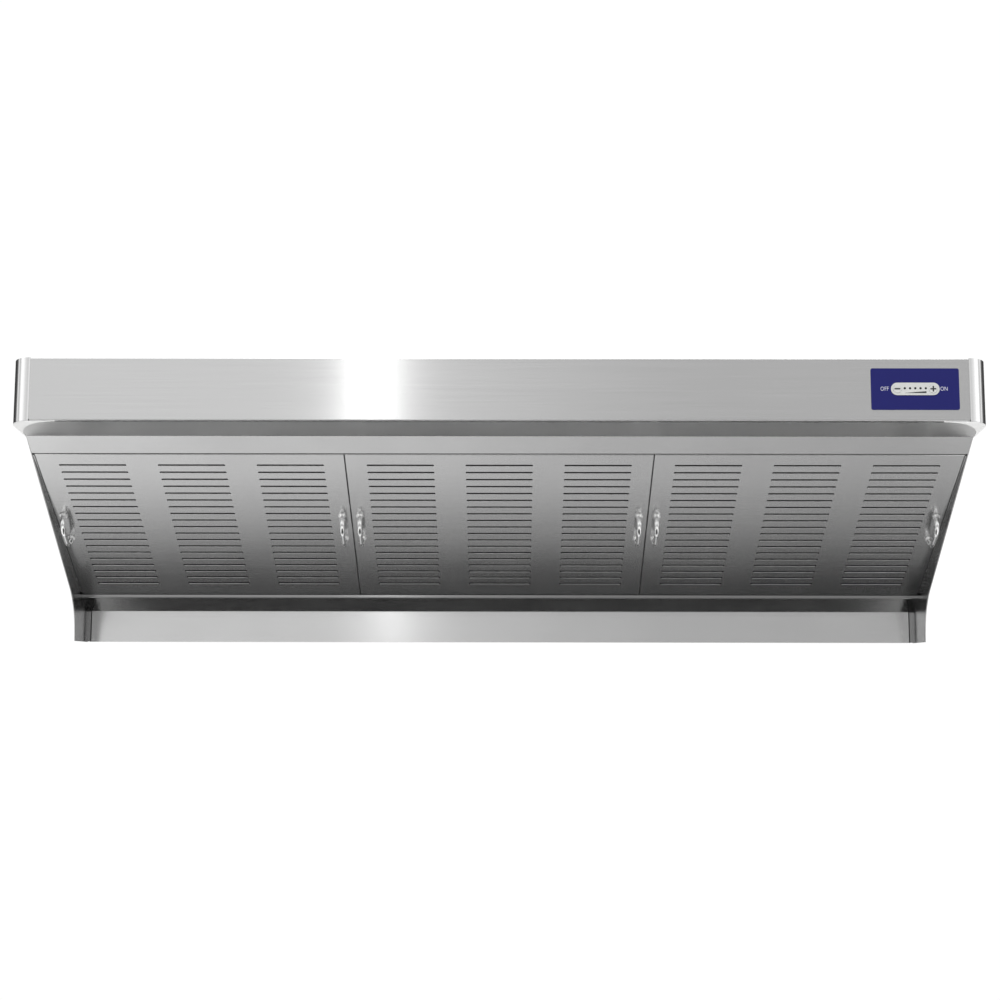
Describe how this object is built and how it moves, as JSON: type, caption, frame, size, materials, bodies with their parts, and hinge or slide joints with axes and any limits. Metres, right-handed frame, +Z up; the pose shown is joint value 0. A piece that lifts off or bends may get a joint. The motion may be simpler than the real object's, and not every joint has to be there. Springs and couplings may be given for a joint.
{
  "type": "wall-mounted extraction hood",
  "caption": "Wide stainless steel wall-mounted kitchen extraction hood with slotted lift-out filter panels, chrome handles, rear grease gutter, rounded front corners and a blue keypad plate.",
  "frame": {"origin": "on the wall plane, at the centre of the rectangle of four wall fixing holes, 300 mm over the cheeks' lowest point", "axes": "+X to the right as the cook faces the hood (the control plate's side), +Y into the wall, +Z up"},
  "size_m": [2, 0.7032, 0.5669],
  "materials": {
    "stainless_outer": "brushed along the width, satin",
    "corner_gusset": "fine satin",
    "gutter_steel": "brushed along the width, satin",
    "mounting_steel": "mill finish",
    "filter_steel": "brushed along the width, bright",
    "baffle_steel": "mill finish, dull",
    "handle_chrome": "polished",
    "galvanised_steel": "hot-dip galvanised",
    "shaft_steel": "ground",
    "motor_casting": "painted casting",
    "black_nylon": "moulded, satin",
    "control_blue": "printed film, satin gloss",
    "keypad_white": "moulded, satin",
    "light_pipe": "clear tinted, unlit",
    "circuit_board": "solder resist"
  },
  "bodies": {
    "hood": {"fascia_panel": "stainless_outer", "left_corner_cap": "stainless_outer", "right_corner_cap": "stainless_outer", "left_cheek": "stainless_outer", "right_cheek": "stainless_outer", "underside_lip": "stainless_outer", "header_trim": "stainless_outer", "top_panel": "stainless_outer", "back_panel": "stainless_outer", "left_corner_gusset": "corner_gusset", "right_corner_gusset": "corner_gusset", "grease_gutter": "gutter_steel", "upper_wall_rail": "mounting_steel", "lower_wall_rail": "mounting_steel", "left_side_rail": "mounting_steel", "right_side_rail": "mounting_steel", "left_filter_divider": "mounting_steel", "right_filter_divider": "mounting_steel", "filter_catches": "mounting_steel", "collar_screws": "mounting_steel", "scroll_wrapper": "galvanised_steel", "left_scroll_side": "galvanised_steel", "right_scroll_side": "galvanised_steel", "outlet_flange": "galvanised_steel", "motor_bracket": "galvanised_steel", "duct_collar": "galvanised_steel", "motor": "motor_casting", "cable_gland": "black_nylon", "supply_box": "black_nylon", "control_box": "black_nylon", "key_switches": "black_nylon", "control_plate": "control_blue", "keypad_bezel": "keypad_white", "level_lights": "light_pipe", "control_board": "circuit_board"},
    "impeller": {"impeller_wheel": "galvanised_steel", "impeller_blades": "galvanised_steel", "motor_shaft": "shaft_steel"},
    "minus_button": {"minus_button": "keypad_white"},
    "plus_button": {"plus_button": "keypad_white"},
    "left_filter": {"left_filter_face": "filter_steel", "left_filter_baffle": "baffle_steel", "left_filter_back": "filter_steel", "left_filter_handles": "handle_chrome", "left_filter_nuts": "handle_chrome"},
    "middle_filter": {"middle_filter_face": "filter_steel", "middle_filter_baffle": "baffle_steel", "middle_filter_back": "filter_steel", "middle_filter_handles": "handle_chrome", "middle_filter_nuts": "handle_chrome"},
    "right_filter": {"right_filter_face": "filter_steel", "right_filter_baffle": "baffle_steel", "right_filter_back": "filter_steel", "right_filter_handles": "handle_chrome", "right_filter_nuts": "handle_chrome"}
  },
  "joints": [
    {"name": "impeller_spin", "type": "hinge", "parent": "hood", "child": "impeller", "pos_m": [0, -0.22, 0.062], "axis": [1, 0, 0], "continuous": true},
    {"name": "minus_press", "type": "slide", "parent": "hood", "child": "minus_button", "axis": [0, 1, 0], "range_m": [0, 0.001], "stiffness_N_per_m": 500},
    {"name": "plus_press", "type": "slide", "parent": "hood", "child": "plus_button", "axis": [0, 1, 0], "range_m": [0, 0.001], "stiffness_N_per_m": 500},
    {"name": "left_filter_out", "type": "slide", "parent": "hood", "child": "left_filter", "axis": [0, -0.4517, -0.8922], "range_m": [0, 0.22]},
    {"name": "middle_filter_out", "type": "slide", "parent": "hood", "child": "middle_filter", "axis": [0, -0.4517, -0.8922], "range_m": [0, 0.22]},
    {"name": "right_filter_out", "type": "slide", "parent": "hood", "child": "right_filter", "axis": [0, -0.4517, -0.8922], "range_m": [0, 0.22]}
  ]
}
